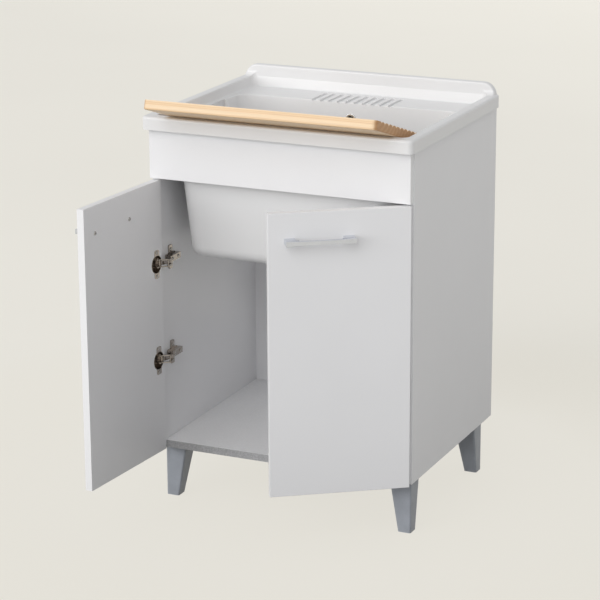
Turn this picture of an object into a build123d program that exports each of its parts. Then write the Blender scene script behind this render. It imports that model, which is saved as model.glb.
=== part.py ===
from build123d import *
from math import cos, hypot, radians, sin, tan
import os

# A sink cabinet with a moulded laundry tub, in millimetres, +Z up.
# The origin is on the floor under the middle of the carcass; the doors face -Y.

os.makedirs("parts", exist_ok=True)

# Carcass
carcass_width = 590.0
side_depth = 476.0
board = 16.0
foot_height = 116.0
rim_height = 850.0
rim_skirt = 28.0
fascia_height = 106.0
fascia_reveal = 1.5
rail_height = 90.0
back_thick = 3.0
back_from_top = 8.0
service_width = 400.0
service_height = 420.0
service_corner = 30.0
dowel_radius = 4.0
dowel_length = 28.0
dowel_in_side = 11.0
dowel_end_inset = 60.0
dowel_clearance = 0.05

# Feet
foot_top = 48.0
foot_bottom = 29.0
foot_corner = 4.0
foot_plate = 5.0
foot_inset_side = 8.5
foot_inset_front = 16.0
foot_inset_rear = 38.0

# Doors, with the angles at which they stand open
door_gap = 2.5
door_reveal = 2.0
doors_apart = 3.0
door_under_fascia = 3.0
door_edge_round = 0.8
open_angle = {"left": 94.0, "right": 35.0}
upper_hinge_from_top = 179.0
lower_hinge_from_bottom = 206.0

# Handles
handle_length = 142.0
handle_hole_spacing = 128.0
handle_reach = 27.0
handle_bar = 8.0
handle_post = 22.0
handle_height = 10.0
handle_waist = 7.0
handle_from_free_edge = 103.5
handle_from_top = 57.0
handle_inner_round = 5.0
handle_bore = 2.1
handle_bore_depth = 18.0
handle_screw_hole = 2.5

# Hinges: points are x inward from the side panel's outer face and y back from the closed door's inner face
arm_front_pin = (34.0, 9.0)
arm_rear_pin = (37.8, -7.5)
cup_front_pin = (9.5, -2.2)
cup_rear_pin = (14.8, -3.8)
outer_link_bend = ((12.0, -5.4), (16.0, -3.4))
outer_link_turn = 0.37
inner_link_turn = 0.404
inner_link_eye = (15.3, -5.25)
pin_radius = 1.5
rear_pin_radius = 1.3
pin_clearance = 0.05
open_eye_radius = 3.1
eye_wall = 1.0
outer_link_thick = 1.8
outer_link_half = 4.3
inner_link_width = 4.0
sheet = 1.5
layer_gap = 0.6
cup_centre = 24.5
cup_radius = 20.0
cup_depth = 12.0
cup_wall = 1.0
cup_clearance = 0.1
flange_width = 18.0
flange_height = 62.0
flange_thick = 1.0
flange_corner = 5.0
plate_thick = 3.5
plate_wing_height = 52.0
plate_wing_width = 14.0
plate_body_height = 17.0
plate_body_length = 42.0
plate_from_front = 37.0
plate_corner = 3.0
arm_rise = 10.5
arm_length = 48.0
arm_start = 16.0

# Tub
rim_overhang_side = 8.0
rim_overhang_front = 16.0
rim_side = 22.0
rim_front = 24.0
rim_corner = 12.0
rim_round = 5.0
lip_round = 3.0
tub_wall = 5.0
deck_drop = 23.0
deck_depth = 84.0
deck_round = 4.0
recess_draft = 4.0
recess_corner = 14.0
splash_rise = 26.0
splash_thick = 14.0
splash_inset = 6.0
splash_corner = 28.0
splash_scoop = 12.0
splash_round = 4.0
basin_front_ledge = 11.0
basin_side_ledge = 11.0
basin_depth = 305.0
basin_corner = 34.0
basin_mouth_round = 3.0
basin_floor_round = 22.0
neck_drop = 57.0
neck_draft = 8.0
neck_draft_side = 20.0
floor_draft = 24.0
floor_draft_side = 40.0
pocket_step = 77.0
pocket_side_room = 4.0
groove_count = 10
groove_pitch = 20.0
groove_width = 9.5
groove_depth = 3.0
groove_length = 73.0

# Overflow and waste
overflow_drop = 60.0
overflow_hole = 10.0
overflow_clearance = 0.1
rosette_radius = 13.0
rosette_thick = 2.5
spigot_wall = 1.5
spigot_length = 20.0
elbow_wall = 2.5
elbow_flange = 17.0
elbow_flange_thick = 4.0
elbow_run = 32.0
elbow_bend = 16.0
elbow_drop = 36.0
pipe_wall = 2.0
pipe_bend = 32.0
pipe_insert = 14.0
waste_hole = 26.0
waste_clearance = 0.3
waste_bore = 20.0
waste_flange_radius = 36.0
waste_flange_thick = 3.0
waste_tube_length = 37.0
strainer_hole = 4.0
strainer_holes = 7
strainer_ring = 13.0
seal_radius = 35.0
seal_thick = 3.0
nut_radius = 37.0
nut_thick = 9.0
chamber_radius = 30.0
chamber_gap = 2.0
chamber_length = 46.0
chamber_taper = 8.0
outlet_radius = 23.9
outlet_length = 60.0
inlet_radius = 13.0
inlet_reach = 26.0
inlet_from_top = 27.0

# Washboard, which lies on the inner edge of the front rim
washboard_length = 512.0
washboard_offset = 4.0
washboard_depth = 300.0
washboard_thick = 20.0
washboard_angle = 17.7
washboard_overhang = 116.5
washboard_seat = 0.3
washboard_corner = 10.0
washboard_round = 3.0
washboard_rail = 24.0
rib_count = 12
rib_height = 4.5

# Margin for picking edges by their place
pick = 1.0

half_width = carcass_width / 2
front_y = -side_depth / 2
rear_y = side_depth / 2
carcass_top = rim_height - rim_skirt
inside_half = half_width - board
fascia_bottom = carcass_top - fascia_height
door_top = fascia_bottom - door_under_fascia
door_height = door_top - foot_height
door_middle = (door_top + foot_height) / 2
door_width = half_width - door_reveal - doors_apart / 2
door_back_y = front_y - door_gap
sides = {"left": -1, "right": 1}
hinge_heights = {
    "upper": door_top - upper_hinge_from_top,
    "lower": foot_height + lower_hinge_from_bottom,
}


def turned(point, centre, degrees):
    """A point in a hinge's plane after a turn about a centre."""
    along, across = point[0] - centre[0], point[1] - centre[1]
    c, s = cos(radians(degrees)), sin(radians(degrees))
    return (centre[0] + c * along - s * across, centre[1] + s * along + c * across)


def hinge_frame(word, height):
    """The closed door's frame on one side: x inward, y back, at one height."""
    side = sides[word]
    return Plane(
        origin=(side * half_width, door_back_y, height), x_dir=(-side, 0, 0), z_dir=(0, 0, -side)
    )


def swung(frame, pin_closed, pin_now, degrees):
    """The frame carried along by a piece that turned while its pin went from one place to another."""
    c, s = cos(radians(degrees)), sin(radians(degrees))
    x_dir = frame.x_dir * c + frame.y_dir * s
    y_dir = frame.y_dir * c - frame.x_dir * s
    pin = frame.from_local_coords((pin_now[0], pin_now[1], 0))
    origin = pin - x_dir * pin_closed[0] - y_dir * pin_closed[1]
    return Plane(origin=origin, x_dir=x_dir, z_dir=frame.z_dir)


def outer_link_frame(word, height):
    turn = outer_link_turn * open_angle[word]
    return swung(hinge_frame(word, height), arm_front_pin, arm_front_pin, turn)


def inner_link_frame(word, height):
    turn = inner_link_turn * open_angle[word]
    return swung(hinge_frame(word, height), arm_rear_pin, arm_rear_pin, turn)


def door_frame(word, height):
    pin_now = turned(cup_front_pin, arm_front_pin, outer_link_turn * open_angle[word])
    return swung(hinge_frame(word, height), cup_front_pin, pin_now, -open_angle[word])


def facing_back(frame, x, y):
    """A plane at one place of a door's frame that looks out of the door's inner face."""
    return Plane(origin=frame.from_local_coords((x, y, 0)), x_dir=frame.x_dir, z_dir=frame.y_dir)


# Carcass dowels: across the side panels at the bottom and the rails, and into the fascia
dowel_out = dowel_length - dowel_in_side
cross_dowels = []
for end_y in (front_y + dowel_end_inset, 0, rear_y - board - dowel_end_inset):
    cross_dowels.append((end_y, foot_height + board / 2))
for rail_bottom in (foot_height + board, carcass_top - rail_height):
    for share in (0.25, 0.75):
        cross_dowels.append((rear_y - board / 2, rail_bottom + share * rail_height))
fascia_dowels = [fascia_bottom + share * fascia_height for share in (0.25, 0.75)]
fascia_dowel_depth = board - dowel_in_side / 2

with BuildPart() as carcass_dowels:
    for side in sides.values():
        for y, z in cross_dowels:
            start = Plane(origin=(side * (inside_half + dowel_in_side), y, z), z_dir=(-side, 0, 0))
            with BuildSketch(start):
                Circle(dowel_radius)
            extrude(amount=dowel_length)
        for z in fascia_dowels:
            start = Plane(
                origin=(side * (half_width - board / 2), front_y - fascia_dowel_depth, z), z_dir=(0, 1, 0)
            )
            with BuildSketch(start):
                Circle(dowel_radius)
            extrude(amount=dowel_length)
carcass_dowels.part.label = "carcass_dowels"
export_step(carcass_dowels.part, "parts/carcass_dowels.step")

# Side panels
for word, side in sides.items():
    with BuildPart() as side_panel:
        with Locations((side * (half_width - board / 2), 0, foot_height)):
            Box(board, side_depth, carcass_top - foot_height, align=(Align.CENTER, Align.CENTER, Align.MIN))
        for y, z in cross_dowels:
            with BuildSketch(Plane(origin=(side * inside_half, y, z), z_dir=(side, 0, 0))):
                Circle(dowel_radius + dowel_clearance)
            extrude(amount=dowel_in_side + dowel_clearance, mode=Mode.SUBTRACT)
        for z in fascia_dowels:
            with BuildSketch(Plane(origin=(side * (half_width - board / 2), front_y, z), z_dir=(0, 1, 0))):
                Circle(dowel_radius + dowel_clearance)
            extrude(amount=dowel_length - fascia_dowel_depth + dowel_clearance, mode=Mode.SUBTRACT)
    side_panel.part.label = f"{word}_side_panel"
    export_step(side_panel.part, f"parts/{word}_side_panel.step")

# Bottom panel and rails, each between the side panels
between_panels = {
    "bottom_panel": ((front_y, rear_y - board), (foot_height, foot_height + board)),
    "rear_bottom_rail": ((rear_y - board, rear_y), (foot_height, foot_height + board + rail_height)),
    "rear_top_rail": ((rear_y - board, rear_y), (carcass_top - rail_height, carcass_top)),
}
for name, (span_y, span_z) in between_panels.items():
    with BuildPart() as cross_panel:
        with Locations((0, sum(span_y) / 2, sum(span_z) / 2)):
            Box(2 * inside_half, span_y[1] - span_y[0], span_z[1] - span_z[0])
        for side in sides.values():
            for y, z in cross_dowels:
                if span_y[0] < y < span_y[1] and span_z[0] < z < span_z[1]:
                    with BuildSketch(Plane(origin=(side * inside_half, y, z), z_dir=(-side, 0, 0))):
                        Circle(dowel_radius + dowel_clearance)
                    extrude(amount=dowel_out + dowel_clearance, mode=Mode.SUBTRACT)
    cross_panel.part.label = name
    export_step(cross_panel.part, f"parts/{name}.step")

# Back panel, which stands on the bottom panel against the rails, with an opening for the site's pipes
with BuildPart() as back_panel:
    with BuildSketch(Plane.XZ.offset(board - rear_y)):
        with Locations((0, foot_height + board)):
            back_height = carcass_top - back_from_top - foot_height - board
            Rectangle(2 * inside_half, back_height, align=(Align.CENTER, Align.MIN))
        with Locations((0, (foot_height + board + carcass_top) / 2)):
            RectangleRounded(service_width, service_height, service_corner, mode=Mode.SUBTRACT)
    extrude(amount=back_thick)
back_panel.part.label = "back_panel"
export_step(back_panel.part, "parts/back_panel.step")

# Fascia panel on the front edges of the side panels
with BuildPart() as fascia_panel:
    with Locations((0, front_y - board / 2, fascia_bottom + fascia_height / 2)):
        Box(carcass_width - 2 * fascia_reveal, board, fascia_height)
    fillet(fascia_panel.faces().sort_by(Axis.Y)[0].edges(), door_edge_round)
    for side in sides.values():
        for z in fascia_dowels:
            with BuildSketch(Plane(origin=(side * (half_width - board / 2), front_y, z), z_dir=(0, -1, 0))):
                Circle(dowel_radius + dowel_clearance)
            extrude(amount=fascia_dowel_depth + dowel_clearance, mode=Mode.SUBTRACT)
fascia_panel.part.label = "fascia_panel"
export_step(fascia_panel.part, "parts/fascia_panel.step")

# Feet: plumb on the two outer faces, tapered on the two inner ones
foot_places = {
    "front_left_foot": (-1, -1, foot_inset_front),
    "front_right_foot": (1, -1, foot_inset_front),
    "rear_left_foot": (-1, 1, foot_inset_rear),
    "rear_right_foot": (1, 1, foot_inset_rear),
}
for name, (side, end, inset) in foot_places.items():
    corner_x = half_width - foot_inset_side
    corner_y = rear_y - inset
    with BuildPart() as foot:
        with BuildSketch(Plane.XY):
            with Locations((side * (corner_x - foot_bottom / 2), end * (corner_y - foot_bottom / 2))):
                RectangleRounded(foot_bottom, foot_bottom, foot_corner)
        with BuildSketch(Plane.XY.offset(foot_height - foot_plate)):
            with Locations((side * (corner_x - foot_top / 2), end * (corner_y - foot_top / 2))):
                RectangleRounded(foot_top, foot_top, foot_corner)
        loft()
        with BuildSketch(Plane.XY.offset(foot_height - foot_plate)):
            with Locations((side * (corner_x - foot_top / 2), end * (corner_y - foot_top / 2))):
                RectangleRounded(foot_top, foot_top, foot_corner)
        extrude(amount=foot_plate)
    foot.part.label = name
    export_step(foot.part, f"parts/{name}.step")

# Tub: rim and backsplash, recess with its deck, basin, and the pocket that takes the washboard
rim_half = half_width + rim_overhang_side
rim_front_y = front_y - board - rim_overhang_front
rim_rear_y = rear_y
deck_z = rim_height - deck_drop
splash_half = rim_half - splash_inset
splash_rear = rim_rear_y - splash_inset
splash_top = rim_height + splash_rise
recess_half = rim_half - rim_side
recess_front = rim_front_y + rim_front
recess_rear = splash_rear - splash_thick
scoop_start = recess_rear - splash_scoop
deck_half = recess_half - recess_draft
pocket_half = inside_half - pocket_side_room - tub_wall
basin_half = deck_half - basin_side_ledge
basin_front = recess_front + recess_draft + basin_front_ledge
basin_rear = recess_rear - recess_draft - deck_depth
neck_z = deck_z - neck_drop
floor_z = rim_height - basin_depth
pocket_rear = basin_rear - pocket_step
slope = tan(radians(washboard_angle))
washboard_rear_y = recess_front + (washboard_depth - washboard_overhang) * cos(radians(washboard_angle))
overflow_z = rim_height - overflow_drop
overflow_y = basin_rear - neck_draft * (deck_z - overflow_z) / neck_drop
overflow_face = Plane(origin=(0, overflow_y, overflow_z), x_dir=(1, 0, 0), z_dir=(0, -neck_drop, neck_draft))
overflow_back = overflow_face.offset(-tub_wall * neck_drop / hypot(neck_drop, neck_draft))
waste_y = (basin_front + basin_rear) / 2


def rounded_area(z, half, front, rear, corner):
    """A rounded rectangle across the cabinet, from a front to a rear line, at one height."""
    with BuildSketch(Plane.XY.offset(z)) as area:
        with Locations((0, (front + rear) / 2)):
            RectangleRounded(2 * half, rear - front, corner)
    return area.sketch


def basin_lofts(grow, bottom_z):
    """Pairs of outlines, mouth to neck and neck to floor, of the basin grown by a wall."""
    corner = basin_corner + grow
    mouth = rounded_area(deck_z, basin_half + grow, basin_front - grow, basin_rear + grow, corner)
    neck = rounded_area(
        neck_z, basin_half - neck_draft_side + grow,
        basin_front + neck_draft - grow, basin_rear - neck_draft + grow, corner,
    )
    bottom = rounded_area(
        bottom_z, basin_half - floor_draft_side + grow,
        basin_front + floor_draft - grow, basin_rear - floor_draft + grow, corner,
    )
    return ([mouth, neck], [neck, bottom])


def edges_between(built, low, high):
    """Edges of a piece whose middles lie in a box."""
    picked = built.edges()
    for axis, least, most in zip((Axis.X, Axis.Y, Axis.Z), low, high):
        picked = picked.filter_by_position(axis, least - pick, most + pick)
    return picked


with BuildPart() as basin_hollow:
    for outlines in basin_lofts(0, floor_z):
        loft(outlines)
    fillet(basin_hollow.edges().group_by(Axis.Z)[0], basin_floor_round)

with BuildPart() as tub:
    extrude(rounded_area(carcass_top, rim_half, rim_front_y, rim_rear_y, rim_corner), amount=rim_skirt)
    fillet(tub.edges().group_by(Axis.Z)[-1], rim_round)

    # Backsplash with a scooped foot
    with BuildSketch(Plane.XZ.offset(-splash_rear)) as splash_outline:
        with Locations((0, rim_height - tub_wall)):
            Rectangle(2 * splash_half, splash_rise + tub_wall, align=(Align.CENTER, Align.MIN))
        fillet(splash_outline.vertices().group_by(Axis.Y)[-1], splash_corner)
    extrude(amount=splash_rear - scoop_start)
    with BuildSketch(Plane.YZ):
        with BuildLine():
            RadiusArc((scoop_start, rim_height), (recess_rear, rim_height + splash_scoop), -splash_scoop)
            Polyline((recess_rear, rim_height + splash_scoop), (recess_rear, splash_top),
                     (scoop_start, splash_top), (scoop_start, rim_height))
        make_face()
    extrude(amount=rim_half, both=True, mode=Mode.SUBTRACT)
    splash_face = tub.faces().filter_by(Plane.XZ).sort_by(Axis.Z)[-1]
    fillet(splash_face.edges() - splash_face.edges().group_by(Axis.Z)[0], splash_round)

    # Recess, whose floor is the deck
    recess_mouth = rounded_area(rim_height, recess_half, recess_front, recess_rear, recess_corner)
    recess_floor = rounded_area(
        deck_z, deck_half, recess_front + recess_draft, recess_rear - recess_draft, recess_corner
    )
    extrude(recess_mouth, amount=splash_rise, mode=Mode.SUBTRACT)
    loft([recess_mouth, recess_floor], mode=Mode.SUBTRACT)
    lip = edges_between(
        tub, (-recess_half, recess_front, rim_height), (recess_half, scoop_start - 2 * pick, rim_height)
    )
    fillet(lip, lip_round)
    fillet(edges_between(tub, (-rim_half, rim_front_y, deck_z), (rim_half, rim_rear_y, deck_z)), deck_round)

    # Hollow under the rim
    with BuildSketch(Plane.XY.offset(carcass_top)):
        with Locations((0, (rim_front_y + rim_rear_y) / 2)):
            RectangleRounded(2 * (rim_half - tub_wall), rim_rear_y - rim_front_y - 2 * tub_wall, rim_corner)
        with Locations((0, (recess_front + recess_rear) / 2)):
            RectangleRounded(2 * (recess_half + tub_wall), recess_rear - recess_front + 2 * tub_wall,
                             recess_corner, mode=Mode.SUBTRACT)
    extrude(amount=rim_skirt - tub_wall, mode=Mode.SUBTRACT)

    # Outside of the basin and of the pocket
    for outlines in basin_lofts(tub_wall, floor_z - tub_wall):
        loft(outlines)
    fillet(tub.edges().group_by(Axis.Z)[0], basin_floor_round + tub_wall)
    pocket_floor = rim_height - (washboard_rear_y - recess_front) * slope
    under_start = recess_front + (rim_skirt - tub_wall / cos(radians(washboard_angle))) / slope
    with BuildSketch(Plane.YZ):
        with BuildLine():
            Polyline((under_start, carcass_top), (washboard_rear_y, pocket_floor - tub_wall),
                     (pocket_rear + tub_wall, pocket_floor - tub_wall), (pocket_rear + tub_wall, carcass_top),
                     close=True)
        make_face()
    extrude(amount=pocket_half + tub_wall, both=True)

    # Inside of the basin and of the pocket, whose slope meets the front lip
    add(basin_hollow.part, mode=Mode.SUBTRACT)
    mouth = edges_between(tub, (-basin_half, basin_front, deck_z), (basin_half, basin_rear, deck_z))
    fillet(mouth, basin_mouth_round)
    pocket_top = deck_z + deck_round
    with BuildSketch(Plane.YZ):
        with BuildLine():
            Polyline((recess_front + (rim_height - pocket_top) / slope, pocket_top),
                     (washboard_rear_y, pocket_floor), (pocket_rear, pocket_floor), (pocket_rear, pocket_top),
                     close=True)
        make_face()
    extrude(amount=pocket_half, both=True, mode=Mode.SUBTRACT)

    # Grooves of the deck, which drain into the basin
    with BuildSketch(Plane.XY.offset(deck_z)):
        with Locations((0, basin_rear + (groove_length - groove_width) / 2)):
            with GridLocations(groove_pitch, 1, groove_count, 1):
                SlotOverall(groove_length + groove_width, groove_width, rotation=90)
    extrude(amount=-groove_depth, mode=Mode.SUBTRACT)

    # Holes of the overflow and the waste
    with BuildSketch(overflow_face):
        Circle(overflow_hole)
    extrude(amount=-2 * tub_wall, mode=Mode.SUBTRACT)
    with BuildSketch(Plane.XY.offset(floor_z)):
        with Locations((0, waste_y)):
            Circle(waste_hole)
    extrude(amount=-2 * tub_wall, mode=Mode.SUBTRACT)
tub.part.label = "tub"
export_step(tub.part, "parts/tub.step")

# Overflow: a rosette in the basin's rear wall, an elbow behind it and a pipe down to the waste
spigot_radius = overflow_hole - overflow_clearance
elbow_radius = overflow_hole + elbow_wall
with BuildPart() as overflow_rosette:
    with BuildSketch(overflow_face):
        Circle(rosette_radius)
    extrude(amount=rosette_thick)
    fillet(overflow_rosette.edges().sort_by(Axis.Y)[0], rosette_thick / 2)
    with BuildSketch(overflow_face):
        Circle(spigot_radius)
    extrude(amount=-spigot_length)
    with BuildSketch(overflow_face.offset(rosette_thick)):
        Circle(spigot_radius - spigot_wall)
    extrude(amount=-rosette_thick - spigot_length, mode=Mode.SUBTRACT)
overflow_rosette.part.label = "overflow_rosette"
export_step(overflow_rosette.part, "parts/overflow_rosette.step")

elbow_start = overflow_back.origin
elbow_corner = elbow_start - overflow_face.z_dir * elbow_run
elbow_end = elbow_corner - Vector(0, 0, elbow_drop)
with BuildPart() as overflow_elbow:
    with BuildSketch(overflow_back):
        Circle(elbow_flange)
    extrude(amount=-elbow_flange_thick)
    with BuildLine() as elbow_path:
        FilletPolyline(elbow_start, elbow_corner, elbow_end, radius=elbow_bend)
    with BuildSketch(overflow_back):
        Circle(elbow_radius)
    sweep(path=elbow_path.line)
    with BuildSketch(overflow_back):
        Circle(overflow_hole)
    sweep(path=elbow_path.line, mode=Mode.SUBTRACT)
overflow_elbow.part.label = "overflow_elbow"
export_step(overflow_elbow.part, "parts/overflow_elbow.step")

inlet_z = floor_z - tub_wall - seal_thick - nut_thick - chamber_gap - inlet_from_top
pipe_top = Vector(0, elbow_end.Y, elbow_end.Z + pipe_insert)
pipe_corner = Vector(0, elbow_end.Y, inlet_z)
pipe_end = Vector(0, waste_y + chamber_radius + inlet_reach - pipe_insert, inlet_z)
with BuildPart() as overflow_pipe:
    with BuildLine() as pipe_path:
        FilletPolyline(pipe_top, pipe_corner, pipe_end, radius=pipe_bend)
    with BuildSketch(Plane(origin=pipe_top, z_dir=(0, 0, -1))):
        Circle(spigot_radius)
        Circle(spigot_radius - pipe_wall, mode=Mode.SUBTRACT)
    sweep(path=pipe_path.line)
overflow_pipe.part.label = "overflow_pipe"
export_step(overflow_pipe.part, "parts/overflow_pipe.step")

# Waste: a strainer through the basin's floor, its seal and nut, and a body that takes the overflow
waste_axis = Axis((0, waste_y, 0), (0, 0, 1))
tube_radius = waste_hole - waste_clearance
floor_under = floor_z - tub_wall
seal_under = floor_under - seal_thick
nut_under = seal_under - nut_thick
with BuildPart() as waste_strainer:
    with BuildSketch(Plane.XY.offset(floor_z)):
        with Locations((0, waste_y)):
            Circle(waste_flange_radius)
    extrude(amount=waste_flange_thick)
    fillet(waste_strainer.edges().sort_by(Axis.Z)[-1], waste_flange_thick / 2)
    with BuildSketch(Plane.XY.offset(floor_z)):
        with Locations((0, waste_y)):
            Circle(tube_radius)
            Circle(waste_bore, mode=Mode.SUBTRACT)
    extrude(amount=-waste_tube_length)
    with BuildSketch(Plane.XY.offset(floor_z)):
        with Locations((0, waste_y)):
            Circle(strainer_hole)
            with PolarLocations(strainer_ring, strainer_holes):
                Circle(strainer_hole)
    extrude(amount=waste_flange_thick, mode=Mode.SUBTRACT)
waste_strainer.part.label = "waste_strainer"
export_step(waste_strainer.part, "parts/waste_strainer.step")

with BuildPart() as waste_seal:
    with BuildSketch(Plane.XY.offset(seal_under)):
        with Locations((0, waste_y)):
            Circle(seal_radius)
            Circle(waste_hole, mode=Mode.SUBTRACT)
    extrude(amount=seal_thick)
waste_seal.part.label = "waste_seal"
export_step(waste_seal.part, "parts/waste_seal.step")

with BuildPart() as waste_nut:
    with BuildSketch(Plane.XY.offset(nut_under)):
        with Locations((0, waste_y)):
            RegularPolygon(nut_radius, 8)
            Circle(waste_hole, mode=Mode.SUBTRACT)
    extrude(amount=nut_thick)
waste_nut.part.label = "waste_nut"
export_step(waste_nut.part, "parts/waste_nut.step")

chamber_top = nut_under - chamber_gap
chamber_bottom = chamber_top - chamber_length
outlet_top = chamber_bottom - chamber_taper
outlet_bottom = outlet_top - outlet_length
with BuildPart() as waste_body:
    with BuildSketch(Plane.XZ.offset(-waste_y)):
        with BuildLine():
            Polyline((waste_hole, chamber_top), (chamber_radius, chamber_top),
                     (chamber_radius, chamber_bottom), (outlet_radius, outlet_top),
                     (outlet_radius, outlet_bottom), (waste_bore, outlet_bottom),
                     (waste_bore, outlet_top), (waste_hole, chamber_bottom), close=True)
        make_face()
    revolve(axis=waste_axis)
    inlet_face = Plane(origin=(0, waste_y + chamber_radius + inlet_reach, inlet_z), z_dir=(0, 1, 0))
    with BuildSketch(inlet_face):
        Circle(inlet_radius)
    extrude(amount=-inlet_reach - chamber_radius + waste_hole)
    with BuildSketch(inlet_face):
        Circle(overflow_hole)
    extrude(amount=-inlet_reach - chamber_radius, mode=Mode.SUBTRACT)
    with BuildSketch(Plane.XY.offset(chamber_bottom)):
        with Locations((0, waste_y)):
            Circle(waste_hole)
    extrude(amount=chamber_length, mode=Mode.SUBTRACT)
waste_body.part.label = "waste_body"
export_step(waste_body.part, "parts/waste_body.step")

# Layers of a hinge, counted from its middle: outer link, arm and front lugs, inner links, rear lugs
arm_near = outer_link_half + layer_gap
arm_far = arm_near + sheet
inner_near = arm_far + layer_gap
inner_far = inner_near + sheet
rear_lug_near = inner_far + layer_gap
rear_lug_far = rear_lug_near + sheet
arm_mid = (arm_near + arm_far) / 2
inner_mid = (inner_near + inner_far) / 2
rear_lug_mid = (rear_lug_near + rear_lug_far) / 2
eye_radius = pin_radius + eye_wall
cup_floor = -cup_depth + cup_wall

for word in sides:
    for level, height in hinge_heights.items():
        fixed = hinge_frame(word, height)
        door_level = door_frame(word, height)

        # Mounting plate, screwed to the side panel
        plate_centre = door_gap + plate_from_front
        plate_face = Plane(
            origin=fixed.from_local_coords((board, plate_centre, 0)), x_dir=fixed.y_dir, z_dir=fixed.x_dir
        )
        with BuildPart() as hinge_plate:
            with BuildSketch(plate_face):
                RectangleRounded(plate_body_length, plate_body_height, plate_corner)
                RectangleRounded(plate_wing_width, plate_wing_height, plate_corner)
            extrude(amount=plate_thick)
        hinge_plate.part.label = f"{word}_{level}_hinge_plate"
        export_step(hinge_plate.part, f"parts/{word}_{level}_hinge_plate.step")

        # Arm: a channel whose two cheeks carry the links' fixed pins
        arm_seat = board + plate_thick
        arm_top = arm_seat + arm_rise
        with BuildPart() as hinge_arm:
            for layer in (-arm_mid, arm_mid):
                with BuildSketch(fixed.offset(layer)):
                    with BuildLine():
                        Polyline((arm_seat, arm_start + arm_length), (arm_top, arm_start + arm_length),
                                 (arm_top, arm_start), (arm_front_pin[0] + eye_radius, arm_front_pin[1]),
                                 (arm_rear_pin[0] + eye_radius, arm_rear_pin[1]),
                                 (arm_rear_pin[0] - eye_radius, arm_rear_pin[1]),
                                 (arm_front_pin[0] - eye_radius, arm_front_pin[1]),
                                 (arm_seat, arm_start), close=True)
                    make_face()
                    with Locations(arm_front_pin, arm_rear_pin):
                        Circle(eye_radius)
                    with Locations(arm_front_pin, arm_rear_pin):
                        Circle(pin_radius + pin_clearance, mode=Mode.SUBTRACT)
                extrude(amount=sheet / 2, both=True)
            with BuildSketch(fixed):
                with Locations((arm_top - sheet / 2, arm_start + arm_length / 2)):
                    Rectangle(sheet, arm_length)
            extrude(amount=arm_far, both=True)
        hinge_arm.part.label = f"{word}_{level}_hinge_arm"
        export_step(hinge_arm.part, f"parts/{word}_{level}_hinge_arm.step")

        # Outer link: a bent strip from the arm's front pin into the cup
        with BuildPart() as outer_link:
            with BuildSketch(outer_link_frame(word, height)):
                with BuildLine():
                    Polyline(cup_front_pin, *outer_link_bend, arm_front_pin)
                trace(line_width=outer_link_thick)
                with Locations(cup_front_pin, arm_front_pin):
                    Circle(eye_radius)
                with Locations(cup_front_pin, arm_front_pin):
                    Circle(pin_radius + pin_clearance, mode=Mode.SUBTRACT)
            extrude(amount=outer_link_half, both=True)
        outer_link.part.label = f"{word}_{level}_outer_link"
        export_step(outer_link.part, f"parts/{word}_{level}_outer_link.step")

        # Inner link: a pair of straight strips with a wide eye at the cup end
        with BuildPart() as inner_link:
            for layer in (-inner_mid, inner_mid):
                with BuildSketch(inner_link_frame(word, height).offset(layer)):
                    with BuildLine():
                        Line(arm_rear_pin, inner_link_eye)
                    trace(line_width=inner_link_width)
                    with Locations(arm_rear_pin):
                        Circle(eye_radius)
                        Circle(pin_radius + pin_clearance, mode=Mode.SUBTRACT)
                    with Locations(inner_link_eye):
                        Circle(open_eye_radius + eye_wall)
                        Circle(open_eye_radius, mode=Mode.SUBTRACT)
                extrude(amount=sheet / 2, both=True)
        inner_link.part.label = f"{word}_{level}_inner_link"
        export_step(inner_link.part, f"parts/{word}_{level}_inner_link.step")

        # Cup, let into the door, with a flange and the lugs that hold its pins
        with BuildPart() as hinge_cup:
            with BuildSketch(facing_back(door_level, cup_centre, 0)):
                Circle(cup_radius)
            extrude(amount=-cup_depth)
            with BuildSketch(facing_back(door_level, cup_centre, 0)):
                RectangleRounded(flange_width, flange_height, flange_corner)
            extrude(amount=flange_thick)
            with BuildSketch(facing_back(door_level, cup_centre, flange_thick)):
                Circle(cup_radius - cup_wall)
            extrude(amount=cup_floor - flange_thick, mode=Mode.SUBTRACT)
            for pin, layer in ((cup_front_pin, arm_mid), (cup_rear_pin, rear_lug_mid)):
                for middle in (-layer, layer):
                    with BuildSketch(door_level.offset(middle)):
                        with Locations((pin[0], (pin[1] + cup_floor) / 2)):
                            Rectangle(2 * eye_radius, pin[1] - cup_floor)
                        with Locations(pin):
                            Circle(eye_radius)
                    extrude(amount=sheet / 2, both=True)
            with BuildSketch(door_level):
                with Locations(cup_front_pin):
                    Circle(pin_radius + pin_clearance)
            extrude(amount=arm_far, both=True, mode=Mode.SUBTRACT)
            with BuildSketch(door_level):
                with Locations(cup_rear_pin):
                    Circle(rear_pin_radius + pin_clearance)
            extrude(amount=rear_lug_far, both=True, mode=Mode.SUBTRACT)
        hinge_cup.part.label = f"{word}_{level}_hinge_cup"
        export_step(hinge_cup.part, f"parts/{word}_{level}_hinge_cup.step")

    # Pins that stay with the carcass, and pins that stay with the door
    with BuildPart() as arm_pins:
        for height in hinge_heights.values():
            fixed = hinge_frame(word, height)
            for pin, reach in ((arm_front_pin, arm_far), (arm_rear_pin, inner_far)):
                with BuildSketch(fixed):
                    with Locations(pin):
                        Circle(pin_radius)
                extrude(amount=reach, both=True)
    arm_pins.part.label = f"{word}_arm_pins"
    export_step(arm_pins.part, f"parts/{word}_arm_pins.step")

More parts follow.
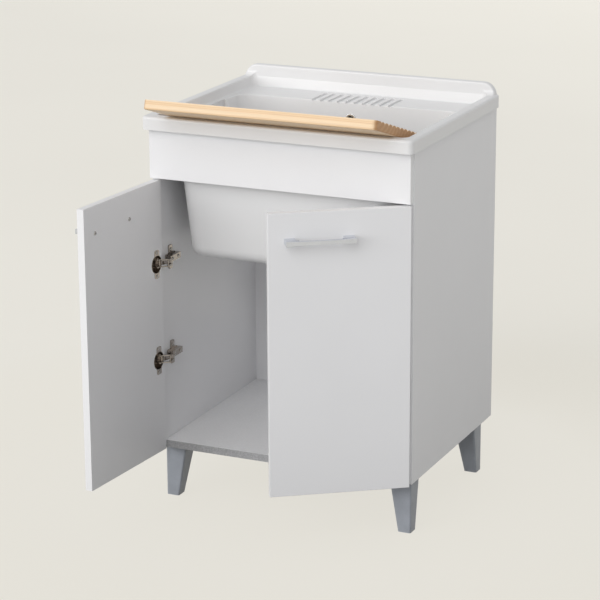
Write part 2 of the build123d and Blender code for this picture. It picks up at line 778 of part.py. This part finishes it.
    with BuildPart() as cup_pins:
        for height in hinge_heights.values():
            door_level = door_frame(word, height)
            with BuildSketch(door_level):
                with Locations(cup_front_pin):
                    Circle(pin_radius)
            extrude(amount=arm_far, both=True)
            for end in (-1, 1):
                with BuildSketch(door_level.offset(end * inner_near)):
                    with Locations(cup_rear_pin):
                        Circle(rear_pin_radius)
                extrude(amount=end * (rear_lug_far - inner_near))
    cup_pins.part.label = f"{word}_cup_pins"
    export_step(cup_pins.part, f"parts/{word}_cup_pins.step")

    # Door panel, with the holes for its cups and for the handle's screws
    door_mid = door_frame(word, door_middle)
    free_edge = door_reveal + door_width
    handle_x = free_edge - handle_from_free_edge
    handle_level = door_frame(word, door_top - handle_from_top)
    with BuildPart() as door_panel:
        with BuildSketch(door_mid):
            with Locations((door_reveal + door_width / 2, -board / 2)):
                Rectangle(door_width, board)
        extrude(amount=door_height / 2, both=True)
        fillet(door_panel.faces().sort_by(Axis(door_mid.origin, door_mid.y_dir))[0].edges(), door_edge_round)
        for height in hinge_heights.values():
            with BuildSketch(facing_back(door_frame(word, height), cup_centre, 0)):
                Circle(cup_radius + cup_clearance)
            extrude(amount=-cup_depth - cup_clearance, mode=Mode.SUBTRACT)
        with BuildSketch(facing_back(handle_level, handle_x, 0)):
            with GridLocations(handle_hole_spacing, 1, 2, 1):
                Circle(handle_screw_hole)
        extrude(amount=-board, mode=Mode.SUBTRACT)
    door_panel.part.label = f"{word}_door_panel"
    export_step(door_panel.part, f"parts/{word}_door_panel.step")

    # Handle: a bar on two broad posts, drawn in at the waist
    handle_face = -board - handle_reach
    with BuildPart() as handle:
        with BuildSketch(handle_level) as handle_plan:
            with Locations((handle_x, handle_face + handle_reach / 2)):
                Rectangle(handle_length, handle_reach)
            gap_length = handle_length - 2 * handle_post
            with Locations((handle_x, handle_face + handle_bar + handle_reach / 2)):
                Rectangle(gap_length, handle_reach, mode=Mode.SUBTRACT)
            inner_corners = handle_plan.vertices().group_by(Axis.Y)[1]
            fillet(inner_corners, handle_inner_round)
        extrude(amount=handle_height / 2, both=True)
        with BuildSketch(facing_back(handle_level, handle_x, handle_face)):
            for end in (-1, 1):
                first = (-handle_length / 2, end * handle_height / 2)
                last = (handle_length / 2, end * handle_height / 2)
                with BuildLine():
                    ThreePointArc(first, (0, end * handle_waist / 2), last)
                    Line(last, first)
                make_face()
        extrude(amount=handle_bar, mode=Mode.SUBTRACT)
        with BuildSketch(facing_back(handle_level, handle_x, -board)):
            with GridLocations(handle_hole_spacing, 1, 2, 1):
                Circle(handle_bore)
        extrude(amount=-handle_bore_depth, mode=Mode.SUBTRACT)
    handle.part.label = f"{word}_handle"
    export_step(handle.part, f"parts/{word}_handle.step")

# Washboard: a pine board with rounded ribs across it, sloping into the basin
washboard_slope = Plane(
    origin=(washboard_offset, recess_front, rim_height), x_dir=(0, 1, -slope), z_dir=(1, 0, 0)
)
rib_zone = washboard_depth - 2 * washboard_rail
rib_pitch = rib_zone / rib_count
rib_start = -washboard_overhang + washboard_rail
washboard_top = washboard_seat + washboard_thick
with BuildPart() as washboard:
    with BuildSketch(washboard_slope):
        with BuildLine():
            Polyline((rib_start, washboard_top - rib_height), (rib_start, washboard_top),
                     (-washboard_overhang, washboard_top), (-washboard_overhang, washboard_seat),
                     (washboard_depth - washboard_overhang, washboard_seat),
                     (washboard_depth - washboard_overhang, washboard_top),
                     (rib_start + rib_zone, washboard_top),
                     (rib_start + rib_zone, washboard_top - rib_height))
            for rib in range(rib_count):
                start = rib_start + rib * rib_pitch
                ThreePointArc((start, washboard_top - rib_height), (start + rib_pitch / 2, washboard_top),
                              (start + rib_pitch, washboard_top - rib_height))
        make_face()
    extrude(amount=washboard_length / 2, both=True)
    board_up = Axis(washboard_slope.origin, washboard_slope.y_dir)
    fillet(washboard.edges().filter_by(board_up).group_by(SortBy.LENGTH)[-1], washboard_corner)
    fillet(washboard.faces().sort_by(board_up)[0].edges(), washboard_round)
washboard.part.label = "washboard"
export_step(washboard.part, "parts/washboard.step")
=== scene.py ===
"""Looks of the sink cabinet: materials, screws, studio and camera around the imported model, in metres."""
from math import cos, pi, radians, sin

import bmesh
import bpy
from mathutils import Matrix, Vector


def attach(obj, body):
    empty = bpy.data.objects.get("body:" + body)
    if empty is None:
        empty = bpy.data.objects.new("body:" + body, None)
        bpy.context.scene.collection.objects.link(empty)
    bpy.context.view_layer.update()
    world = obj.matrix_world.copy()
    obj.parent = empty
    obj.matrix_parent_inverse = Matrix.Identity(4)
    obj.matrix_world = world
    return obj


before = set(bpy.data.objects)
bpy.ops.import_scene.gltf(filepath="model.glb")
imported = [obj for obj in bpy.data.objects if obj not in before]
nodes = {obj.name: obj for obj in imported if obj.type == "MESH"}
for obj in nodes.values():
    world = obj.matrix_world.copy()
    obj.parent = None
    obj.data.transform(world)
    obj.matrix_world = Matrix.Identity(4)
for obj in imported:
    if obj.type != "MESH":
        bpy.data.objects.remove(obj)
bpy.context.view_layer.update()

scene = bpy.context.scene

# Camera at the photograph's place: focal length in pixels of a 600 pixel frame
CAMERA_PLACE = Vector((1.9927, -4.4995, 1.8701))
CAMERA_YAW = 0.4291
CAMERA_PITCH = 0.2874
CAMERA_ROLL = -0.0054
FOCAL_PIXELS = 2363.0
FRAME_PIXELS = 600.0
SENSOR = 36.0
CLIP_END = 100.0

# The doors' open angles and the places of the fittings, as the solids have them. A hinge frame has x inward
# from the carcass's outer face and y back from the closed door's inner face
OPEN_ANGLE = {"left": radians(94.0), "right": radians(35.0)}
SIDE = {"left": -1, "right": 1}
HINGE_HEIGHTS = (0.534, 0.322)
HALF_WIDTH = 0.295
CLOSED_INNER_Y = -0.2405
DOOR_PIN_CLOSED = Vector((0.0095, -0.0022))
ARM_PIN = Vector((0.034, 0.009))
LINK_SHARE = 0.37
PLATE_TOP, PLATE_MIDDLE, PLATE_SCREW = 0.0195, 0.0395, 0.016
ARM_TOP, ARM_SCREWS = 0.030, (0.028, 0.053)
CUP_MIDDLE, FLANGE_TOP, CUP_SCREW = 0.0245, 0.001, 0.0255
HANDLE_MIDDLE, HANDLE_SCREW, HANDLE_LEVEL = 0.190, 0.064, 0.656
WASHBOARD_TILT = radians(17.7)

# Screw heads: radius, height and depth of the recess
PLATE_HEAD = (0.0042, 0.0016, 0.0011)
ARM_HEAD = (0.0036, 0.0018, 0.0012)
CUP_HEAD = (0.0040, 0.0014, 0.0010)
HANDLE_HEAD = (0.0042, 0.0022, 0.0014)
HEAD_SIDES = 32
HEAD_PROFILE = ((1.0, 0.0), (1.0, 0.35), (0.93, 0.66), (0.78, 0.88), (0.60, 1.0))
CROSS_REACH, CROSS_HALF, CROSS_TAPER = 0.46, 0.12, 0.8
FIRST_SPIN, NEXT_SPIN = 0.7, 1.3

# Colours: a darker and a lighter tone where a surface varies
BOARD_FACE, BOARD_EDGE = (0.87, 0.87, 0.885), (0.88, 0.88, 0.89)
TUB_TONES = (0.80, 0.80, 0.805), (0.82, 0.82, 0.825)
FOOT_TONES = (0.29, 0.31, 0.345), (0.385, 0.41, 0.455)
PIPE_TONES = (0.72, 0.72, 0.71), (0.80, 0.80, 0.79)
RUBBER_TONES = (0.02, 0.02, 0.02), (0.045, 0.045, 0.045)
BEECH_TONES = (0.52, 0.36, 0.21), (0.66, 0.48, 0.30)
FOIL_TONES = (0.87, 0.87, 0.88), (0.93, 0.93, 0.94)
FLAKE_TONES = (0.76, 0.76, 0.77), (0.97, 0.97, 0.98)
RAW_EDGE_TONES = (0.32, 0.32, 0.33), (0.54, 0.54, 0.55)
FIBRE_TONES = (0.80, 0.80, 0.80), (1.0, 1.0, 1.0)
PINE_RINGS = (
    (0.0, (0.96, 0.75, 0.51)), (0.55, (0.94, 0.71, 0.465)),
    (0.85, (0.82, 0.55, 0.31)), (1.0, (0.91, 0.67, 0.42)),
)
# The ends' colour darkens the washboard's end faces: partly their end grain, partly painted shade
PINE_CLOUD, PINE_END_GRAIN_AND_SHADE = (0.88, 0.61, 0.37), (0.66, 0.50, 0.37)
HANDLE_ALUMINIUM = (0.76, 0.78, 0.83)
HINGE_NICKEL = (0.44, 0.395, 0.355)
SCREW_STEEL = (0.50, 0.485, 0.465)
CHROME = (0.74, 0.745, 0.75)

# Studio: near the part the floor throws little light back, and a stronger glow there keeps its pale look
FLOOR_SIZE = 60.0
FLOOR_TONES = (0.55, 0.545, 0.53), (0.57, 0.565, 0.55)
FLOOR_NEAR_TONE = (0.080, 0.079, 0.077)
NEAR_START, NEAR_END = 0.6, 1.2
GLOW_WAY = (0.5, 0.87, 0)
GLOW_START, GLOW_END = 2.5, 6.0
GLOW_LOW, GLOW_HIGH, GLOW_MORE_NEAR = 0.36, 0.46, 0.355
GLOW_TINT, GLOW_NEAR_TINT = (1.0, 0.955, 0.82), (1.0, 0.97, 0.886)
SKY_COLOUR = (1.0, 1.0, 1.0, 1)
SKY_HORIZON, SKY_ZENITH = 0.78, 0.42

ACROSS, DEEP, UPRIGHT = (1, 0, 0), (0, 1, 0), (0, 0, 1)


# Places on the doors and the hinges

def spun(point, angle):
    """A flat vector turned by an angle."""
    return Vector((cos(angle) * point.x - sin(angle) * point.y, sin(angle) * point.x + cos(angle) * point.y))


def closed_place(word, x, y, z):
    """A place in a side's hinge frame, in the part's frame."""
    return Vector((SIDE[word] * (HALF_WIDTH - x), CLOSED_INNER_Y + y, z))


def door_place(word, x, y, z):
    """A place on a door, given as if it were closed, where the door now stands."""
    angle = OPEN_ANGLE[word]
    pin = ARM_PIN + spun(DOOR_PIN_CLOSED - ARM_PIN, LINK_SHARE * angle)
    now = pin + spun(Vector((x, y)) - DOOR_PIN_CLOSED, -angle)
    return closed_place(word, now.x, now.y, z)


def door_direction(word, x, y):
    """A direction of the closed door's hinge frame, as the door now stands."""
    turned = spun(Vector((x, y)), -OPEN_ANGLE[word])
    return Vector((-SIDE[word] * turned.x, turned.y, 0))


# Node helpers

def new_material(name):
    """A material with its tree, its shader and object coordinates."""
    made = bpy.data.materials.new(name)
    made.use_nodes = True
    tree = made.node_tree
    shader = tree.nodes["Principled BSDF"]
    coordinates = tree.nodes.new("ShaderNodeTexCoord")
    return made, tree, shader, coordinates.outputs["Object"]


def mapped(tree, vector, scale=(1, 1, 1), rotation=(0, 0, 0), location=(0, 0, 0)):
    """Coordinates turned, stretched and moved."""
    node = tree.nodes.new("ShaderNodeMapping")
    node.inputs["Scale"].default_value = scale
    node.inputs["Rotation"].default_value = rotation
    node.inputs["Location"].default_value = location
    tree.links.new(vector, node.inputs["Vector"])
    return node.outputs["Vector"]


def noise(tree, vector, scale, detail=3.0, roughness=0.55):
    """Fractal noise, from 0 to 1."""
    node = tree.nodes.new("ShaderNodeTexNoise")
    node.inputs["Scale"].default_value = scale
    node.inputs["Detail"].default_value = detail
    node.inputs["Roughness"].default_value = roughness
    tree.links.new(vector, node.inputs["Vector"])
    return node.outputs["Fac"]


def ramp(tree, value, stops):
    """Colours along a value: stops of position and colour."""
    node = tree.nodes.new("ShaderNodeValToRGB")
    bar = node.color_ramp.elements
    while len(bar) < len(stops):
        bar.new(0.5)
    for element, (place, colour) in zip(bar, stops):
        element.position = place
        element.color = (*colour, 1)
    tree.links.new(value, node.inputs["Fac"])
    return node.outputs["Color"]


def two_tone(tree, value, tones, start=0.3, end=0.7):
    """A first tone that turns into a second along a value."""
    return ramp(tree, value, ((start, tones[0]), (end, tones[1])))


def shade(colour, share):
    """A colour darkened to a share of itself."""
    return tuple(c * share for c in colour)


def spread(tree, value, low, high, start=0.3, end=0.7):
    """A value brought from the range start to end into the range low to high."""
    node = tree.nodes.new("ShaderNodeMapRange")
    node.inputs["From Min"].default_value = start
    node.inputs["From Max"].default_value = end
    node.inputs["To Min"].default_value = low
    node.inputs["To Max"].default_value = high
    tree.links.new(value, node.inputs["Value"])
    return node.outputs["Result"]


def maths(tree, operation, first, second):
    """Two values joined; either may be a plain number."""
    node = tree.nodes.new("ShaderNodeMath")
    node.operation = operation
    for socket, value in zip(node.inputs, (first, second)):
        if isinstance(value, (int, float)):
            socket.default_value = value
        else:
            tree.links.new(value, socket)
    return node.outputs["Value"]


def mixed(tree, share, first, second, blend="MIX"):
    """Two colours mixed by a share; each may be a plain colour."""
    node = tree.nodes.new("ShaderNodeMix")
    node.data_type = "RGBA"
    node.blend_type = blend
    for name, value in (("Factor", share), ("A", first), ("B", second)):
        socket = [s for s in node.inputs if s.name == name and s.enabled][0]
        if isinstance(value, tuple):
            socket.default_value = (*value, 1)
        elif isinstance(value, (int, float)):
            socket.default_value = value
        else:
            tree.links.new(value, socket)
    return [s for s in node.outputs if s.enabled][0]


def bumped(tree, shader, height, strength, distance, over=None):
    """A bump from a height, over an earlier bump where one is given."""
    node = tree.nodes.new("ShaderNodeBump")
    node.inputs["Strength"].default_value = strength
    node.inputs["Distance"].default_value = distance
    tree.links.new(height, node.inputs["Height"])
    if over is not None:
        tree.links.new(over, node.inputs["Normal"])
    tree.links.new(node.outputs["Normal"], shader.inputs["Normal"])
    return node.outputs["Normal"]


def reach(tree, vector, direction):
    """How far a vector goes along a direction."""
    node = tree.nodes.new("ShaderNodeVectorMath")
    node.operation = "DOT_PRODUCT"
    node.inputs[1].default_value = direction
    tree.links.new(vector, node.inputs[0])
    return node.outputs["Value"]


def facing(tree, direction):
    """How far a face looks along a direction of its own object, either way, from 0 to 1."""
    coordinates = tree.nodes.new("ShaderNodeTexCoord")
    return maths(tree, "ABSOLUTE", reach(tree, coordinates.outputs["Normal"], direction), 0.0)


# Materials

def white_board(name, thickness_way):
    """Melamine-faced board with a faint pearl grain and plain banded edges."""
    made, tree, shader, vector = new_material(name)
    grain = noise(tree, vector, scale=1400.0, detail=2.0, roughness=0.7)
    cloud = noise(tree, vector, scale=5.0, detail=2.0)
    tone = two_tone(tree, cloud, (shade(BOARD_FACE, share=0.975), BOARD_FACE))
    pearl = two_tone(tree, grain, (shade(BOARD_FACE, share=0.95), BOARD_FACE), start=0.35, end=0.65)
    flat = spread(tree, facing(tree, thickness_way), low=0.0, high=1.0)
    face = mixed(tree, share=0.35, first=tone, second=pearl)
    tree.links.new(mixed(tree, flat, BOARD_EDGE, face), shader.inputs["Base Color"])
    dull = spread(tree, noise(tree, vector, scale=40.0), low=0.34, high=0.44)
    tree.links.new(dull, shader.inputs["Roughness"])
    bumped(tree, shader, grain, strength=0.12, distance=0.0002)
    return made


def tub_white():
    """Glossy white moulding with a slight orange peel."""
    made, tree, shader, vector = new_material("tub_white")
    tree.links.new(two_tone(tree, noise(tree, vector, scale=4.0), TUB_TONES), shader.inputs["Base Color"])
    dull = spread(tree, noise(tree, vector, scale=18.0, detail=4.0), low=0.30, high=0.35)
    tree.links.new(dull, shader.inputs["Roughness"])
    fine = noise(tree, vector, scale=160.0, detail=2.0)
    wide = noise(tree, vector, scale=14.0, detail=1.0)
    peel = bumped(tree, shader, fine, strength=0.02, distance=0.0003)
    bumped(tree, shader, wide, strength=0.015, distance=0.002, over=peel)
    shader.inputs["Coat Weight"].default_value = 0.12
    shader.inputs["Coat Roughness"].default_value = 0.12
    return made


def metal(name, colour, rough, brushed_along=0.0, stretch=1.0, scale=260.0):
    """Bare or plated metal with brushed or cloudy roughness."""
    made, tree, shader, vector = new_material(name)
    shader.inputs["Metallic"].default_value = 1.0
    brushed = mapped(tree, vector, scale=(1 / stretch, 1, 1), rotation=(0, 0, brushed_along))
    lines = noise(tree, brushed, scale, detail=4.0, roughness=0.65)
    tone = two_tone(tree, lines, (shade(colour, share=0.86), colour), start=0.25, end=0.75)
    wear = spread(tree, noise(tree, vector, scale=60.0, detail=4.0, roughness=0.6), low=0.0, high=0.35)
    tree.links.new(mixed(tree, wear, tone, shade(colour, share=0.8)), shader.inputs["Base Color"])
    dull = spread(tree, lines, low=rough - 0.06, high=rough + 0.08)
    tree.links.new(dull, shader.inputs["Roughness"])
    bumped(tree, shader, lines, strength=0.08, distance=0.0002)
    return made


def plastic(name, tones, rough):
    """Moulded plastic with a fine speckle and a soft change of tone."""
    made, tree, shader, vector = new_material(name)
    cloud = two_tone(tree, noise(tree, vector, scale=22.0), tones)
    dots = noise(tree, vector, scale=900.0, detail=2.0, roughness=0.8)
    speckle = two_tone(tree, dots, tones, start=0.4, end=0.6)
    tree.links.new(mixed(tree, share=0.25, first=cloud, second=speckle), shader.inputs["Base Color"])
    dull = spread(tree, noise(tree, vector, scale=70.0), low=rough - 0.05, high=rough + 0.06)
    tree.links.new(dull, shader.inputs["Roughness"])
    bumped(tree, shader, dots, strength=0.15, distance=0.0001)
    return made


def pine():
    """Sanded pine: growth rings that run along the board, fibres, darker late wood, and ends darkened partly
    as end grain and partly as painted shade.
    """
    made, tree, shader, vector = new_material("pine")
    along = mapped(tree, vector, scale=(0.35, 9.0, 9.0), rotation=(WASHBOARD_TILT, 0, 0))
    ring = tree.nodes.new("ShaderNodeTexWave")
    ring.wave_type = "RINGS"
    ring.rings_direction = "X"
    ring.inputs["Scale"].default_value = 2.6
    ring.inputs["Distortion"].default_value = 2.2
    ring.inputs["Detail"].default_value = 3.0
    ring.inputs["Detail Scale"].default_value = 1.4
    tree.links.new(mapped(tree, along, location=(0.3, 5.6, -7.4)), ring.inputs["Vector"])
    stretched = mapped(tree, vector, scale=(10.0, 420.0, 420.0))
    fibre = noise(tree, stretched, scale=1.0, detail=4.0, roughness=0.7)
    cloud = noise(tree, mapped(tree, vector, scale=(2.0, 14.0, 14.0)), scale=1.0)
    rings = ramp(tree, ring.outputs["Fac"], PINE_RINGS)
    toned = mixed(tree, spread(tree, cloud, low=0.0, high=0.35), rings, PINE_CLOUD)
    fine = two_tone(tree, fibre, FIBRE_TONES, start=0.3, end=0.62)
    wood = mixed(tree, share=0.55, first=toned, second=fine, blend="MULTIPLY")
    # End faces darkened, partly as end grain and partly as painted shade
    end_grain_and_shade = spread(tree, facing(tree, ACROSS), low=0.0, high=1.0, start=0.4, end=0.8)
    tree.links.new(mixed(tree, end_grain_and_shade, wood, PINE_END_GRAIN_AND_SHADE, "MULTIPLY"), shader.inputs["Base Color"])
    tree.links.new(spread(tree, fibre, low=0.42, high=0.6), shader.inputs["Roughness"])
    grain = bumped(tree, shader, fibre, strength=0.25, distance=0.0004)
    bumped(tree, shader, ring.outputs["Fac"], strength=0.1, distance=0.0004, over=grain)
    return made


def foil_board():
    """The bottom panel's pale grey, slightly sparkling protective face, and its darker raw edges."""
    made, tree, shader, vector = new_material("foil_board")
    cloud = noise(tree, mapped(tree, vector, scale=(1.0, 0.4, 1.0)), scale=12.0, detail=4.0)
    flake = noise(tree, vector, scale=320.0, roughness=0.8)
    flakes = two_tone(tree, flake, FLAKE_TONES, start=0.35, end=0.65)
    bare = two_tone(tree, flake, RAW_EDGE_TONES, start=0.35, end=0.65)
    flat = spread(tree, facing(tree, UPRIGHT), low=0.0, high=1.0)
    face = mixed(tree, share=0.45, first=two_tone(tree, cloud, FOIL_TONES), second=flakes)
    tree.links.new(mixed(tree, flat, bare, face), shader.inputs["Base Color"])
    tree.links.new(spread(tree, flake, low=0.3, high=0.5), shader.inputs["Roughness"])
    bumped(tree, shader, flake, strength=0.2, distance=0.0003)
    return made


def dress(names, made):
    """Gives CAD nodes a material."""
    for name in names:
        data = nodes[name].data
        data.materials.clear()
        data.materials.append(made)


dress(["left_side_panel", "right_side_panel"], white_board("side_board", ACROSS))
dress(["rear_bottom_rail", "rear_top_rail", "fascia_panel", "back_panel"], white_board("front_board", DEEP))
dress(["bottom_panel"], foil_board())
for word, side in SIDE.items():
    dress([f"{word}_door_panel"], white_board(f"{word}_door_board", tuple(door_direction(word, 0, 1))))
    dress([f"{word}_handle"], metal(
        f"{word}_satin_aluminium", HANDLE_ALUMINIUM, rough=0.18,
        brushed_along=OPEN_ANGLE[word] * side, stretch=30.0, scale=700.0,
    ))
dress(["tub"], tub_white())
dress(["washboard"], pine())
dress([n for n in nodes if n.endswith("_foot")], plastic("silver_plastic", FOOT_TONES, rough=0.38))
hinge_pieces = [n for n in nodes if any(part in n for part in ("hinge", "_link", "_pins"))]
dress(hinge_pieces, metal("hinge_nickel", HINGE_NICKEL, rough=0.18, stretch=6.0))
dress(["overflow_rosette", "waste_strainer"], metal("chrome", CHROME, rough=0.12, scale=40.0))
dress(["overflow_elbow", "overflow_pipe", "waste_nut", "waste_body"],
      plastic("pipe_plastic", PIPE_TONES, rough=0.42))
dress(["waste_seal"], plastic("seal_rubber", RUBBER_TONES, rough=0.7))
dress(["carcass_dowels"], plastic("beech", BEECH_TONES, rough=0.6))


# Screws

def screw_mesh(radius, height, recess):
    """A domed screw head with a cross recess, its seat at the origin and its top along +Z."""
    shape = bmesh.new()
    turns = [2 * pi * i / HEAD_SIDES for i in range(HEAD_SIDES)]
    rings = []
    for share, up in HEAD_PROFILE:
        wide = radius * share
        rings.append([shape.verts.new((wide * cos(turn), wide * sin(turn), height * up)) for turn in turns])
    for lower, upper in zip(rings, rings[1:]):
        for i in range(HEAD_SIDES):
            j = (i + 1) % HEAD_SIDES
            shape.faces.new((lower[i], lower[j], upper[j], upper[i]))
    shape.faces.new(list(reversed(rings[0])))
    arm, half = radius * CROSS_REACH, radius * CROSS_HALF
    outline = [
        spun(Vector(corner), quarter * pi / 2)
        for quarter in range(4) for corner in ((arm, -half), (arm, half), (half, half))
    ]
    top = [shape.verts.new((p.x, p.y, height)) for p in outline]
    low = [shape.verts.new((p.x * CROSS_TAPER, p.y * CROSS_TAPER, height - recess)) for p in outline]
    count = len(outline)
    rim = [shape.edges.get((rings[-1][i], rings[-1][(i + 1) % HEAD_SIDES])) for i in range(HEAD_SIDES)]
    plus = [shape.edges.new((top[i], top[(i + 1) % count])) for i in range(count)]
    bmesh.ops.triangle_fill(shape, use_beauty=True, edges=rim + plus)
    for i in range(count):
        j = (i + 1) % count
        shape.faces.new((top[j], top[i], low[i], low[j]))
    shape.faces.new(low)
    bmesh.ops.recalc_face_normals(shape, faces=shape.faces)
    return shape


def place_screws(name, body, places, way, head, material):
    """Screw heads at places of one body, all looking one way."""
    shape = screw_mesh(*head)
    plain = bpy.data.meshes.new(name + "_head")
    shape.to_mesh(plain)
    shape.free()
    joined = bmesh.new()
    turn = Vector(way).normalized().to_track_quat("Z", "Y").to_matrix().to_4x4()
    for number, place in enumerate(places):
        part = bmesh.new()
        part.from_mesh(plain)
        spin = Matrix.Rotation(FIRST_SPIN + NEXT_SPIN * number, 4, "Z")
        part.transform(Matrix.Translation(place) @ turn @ spin)
        moved = bpy.data.meshes.new(name + "_one")
        part.to_mesh(moved)
        part.free()
        joined.from_mesh(moved)
        bpy.data.meshes.remove(moved)
    data = bpy.data.meshes.new(name)
    joined.to_mesh(data)
    joined.free()
    bpy.data.meshes.remove(plain)
    piece = bpy.data.objects.new(name, data)
    scene.collection.objects.link(piece)
    data.materials.append(material)
    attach(piece, body)


screw_steel = metal("screw_steel", SCREW_STEEL, rough=0.18, scale=500.0)
for word, side in SIDE.items():
    inward = Vector((-side, 0, 0))
    out_of_door = door_direction(word, 0, 1)
    plate, arm, cup = [], [], []
    for level in HINGE_HEIGHTS:
        plate += [closed_place(word, PLATE_TOP, PLATE_MIDDLE, level + end * PLATE_SCREW) for end in (-1, 1)]
        arm += [closed_place(word, ARM_TOP, y, level) for y in ARM_SCREWS]
        cup += [door_place(word, CUP_MIDDLE, FLANGE_TOP, level + end * CUP_SCREW) for end in (-1, 1)]
    handle = [door_place(word, HANDLE_MIDDLE + end * HANDLE_SCREW, 0.0, HANDLE_LEVEL) for end in (-1, 1)]
    place_screws(f"{word}_plate_screws", "cabinet", plate, inward, PLATE_HEAD, screw_steel)
    place_screws(f"{word}_arm_screws", "cabinet", arm, inward, ARM_HEAD, screw_steel)
    place_screws(f"{word}_cup_screws", f"{word}_door", cup, out_of_door, CUP_HEAD, screw_steel)
    place_screws(f"{word}_handle_screws", f"{word}_door", handle, out_of_door, HANDLE_HEAD, screw_steel)


# Studio

def studio_floor():
    """A wide floor that looks pale and even, and throws little light on the part."""
    made, tree, shader, vector = new_material("studio_cream")
    apart = tree.nodes.new("ShaderNodeVectorMath")
    apart.operation = "LENGTH"
    tree.links.new(vector, apart.inputs[0])
    near = spread(tree, apart.outputs["Value"], low=1.0, high=0.0, start=NEAR_START, end=NEAR_END)
    cloud = two_tone(tree, noise(tree, vector, scale=0.6, detail=2.0), FLOOR_TONES)
    tree.links.new(mixed(tree, near, cloud, FLOOR_NEAR_TONE), shader.inputs["Base Color"])
    path = tree.nodes.new("ShaderNodeLightPath")
    seen = maths(tree, "MAXIMUM", path.outputs["Is Camera Ray"], path.outputs["Is Glossy Ray"])
    seen = maths(tree, "MAXIMUM", seen, path.outputs["Is Transmission Ray"])
    away = reach(tree, vector, GLOW_WAY)
    glow = spread(tree, away, low=GLOW_LOW, high=GLOW_HIGH, start=GLOW_START, end=GLOW_END)
    glow = maths(tree, "ADD", glow, maths(tree, "MULTIPLY", near, GLOW_MORE_NEAR))
    tree.links.new(maths(tree, "MULTIPLY", seen, glow), shader.inputs["Emission Strength"])
    tree.links.new(mixed(tree, near, GLOW_TINT, GLOW_NEAR_TINT), shader.inputs["Emission Color"])
    made.cycles.emission_sampling = "NONE"
    shader.inputs["Roughness"].default_value = 0.9
    shader.inputs["Specular IOR Level"].default_value = 0.1
    bpy.ops.mesh.primitive_plane_add(size=FLOOR_SIZE, location=(0, 0, 0))
    floor = bpy.context.object
    floor.name = "studio_floor"
    floor.data.materials.append(made)


def studio_sky():
    """White light from all round, strongest at the horizon."""
    world = bpy.data.worlds.new("studio_world")
    scene.world = world
    world.use_nodes = True
    tree = world.node_tree
    sky = tree.nodes["Background"]
    height = tree.nodes.new("ShaderNodeSeparateXYZ")
    coordinates = tree.nodes.new("ShaderNodeTexCoord")
    tree.links.new(coordinates.outputs["Generated"], height.inputs["Vector"])
    strength = spread(tree, height.outputs["Z"], low=SKY_HORIZON, high=SKY_ZENITH, start=0.0, end=1.0)
    tree.links.new(strength, sky.inputs["Strength"])
    sky.inputs["Color"].default_value = SKY_COLOUR


def soft_sun(name, energy, width_degrees, towards):
    """A wide, even lamp that shines along a direction."""
    lamp = bpy.data.objects.new(name, bpy.data.lights.new(name, "SUN"))
    lamp.data.energy = energy
    lamp.data.angle = radians(width_degrees)
    lamp.rotation_mode = "QUATERNION"
    lamp.rotation_quaternion = Vector(towards).to_track_quat("-Z", "Y")
    scene.collection.objects.link(lamp)


def photo_camera():
    """The camera, turned by yaw and pitch and then rolled about its axis."""
    lens = bpy.data.cameras.new("camera")
    lens.sensor_width = SENSOR
    lens.lens = FOCAL_PIXELS * SENSOR / FRAME_PIXELS
    lens.clip_end = CLIP_END
    camera = bpy.data.objects.new("camera", lens)
    ahead = Vector((
        -sin(CAMERA_YAW) * cos(CAMERA_PITCH), cos(CAMERA_YAW) * cos(CAMERA_PITCH), -sin(CAMERA_PITCH)
    ))
    level_right = Vector((cos(CAMERA_YAW), sin(CAMERA_YAW), 0))
    level_up = level_right.cross(ahead)
    right = level_right * cos(CAMERA_ROLL) + level_up * sin(CAMERA_ROLL)
    up = level_up * cos(CAMERA_ROLL) - level_right * sin(CAMERA_ROLL)
    turn = Matrix((right, up, -ahead)).transposed().to_4x4()
    camera.matrix_world = Matrix.Translation(CAMERA_PLACE) @ turn
    scene.collection.objects.link(camera)
    scene.camera = camera


studio_floor()
studio_sky()
soft_sun("key", energy=1.10, width_degrees=36, towards=(0.52, 0.82, -0.18))
soft_sun("fill", energy=0.74, width_degrees=40, towards=(0.03, 0.78, -0.62))
photo_camera()
scene.view_settings.view_transform = "Standard"
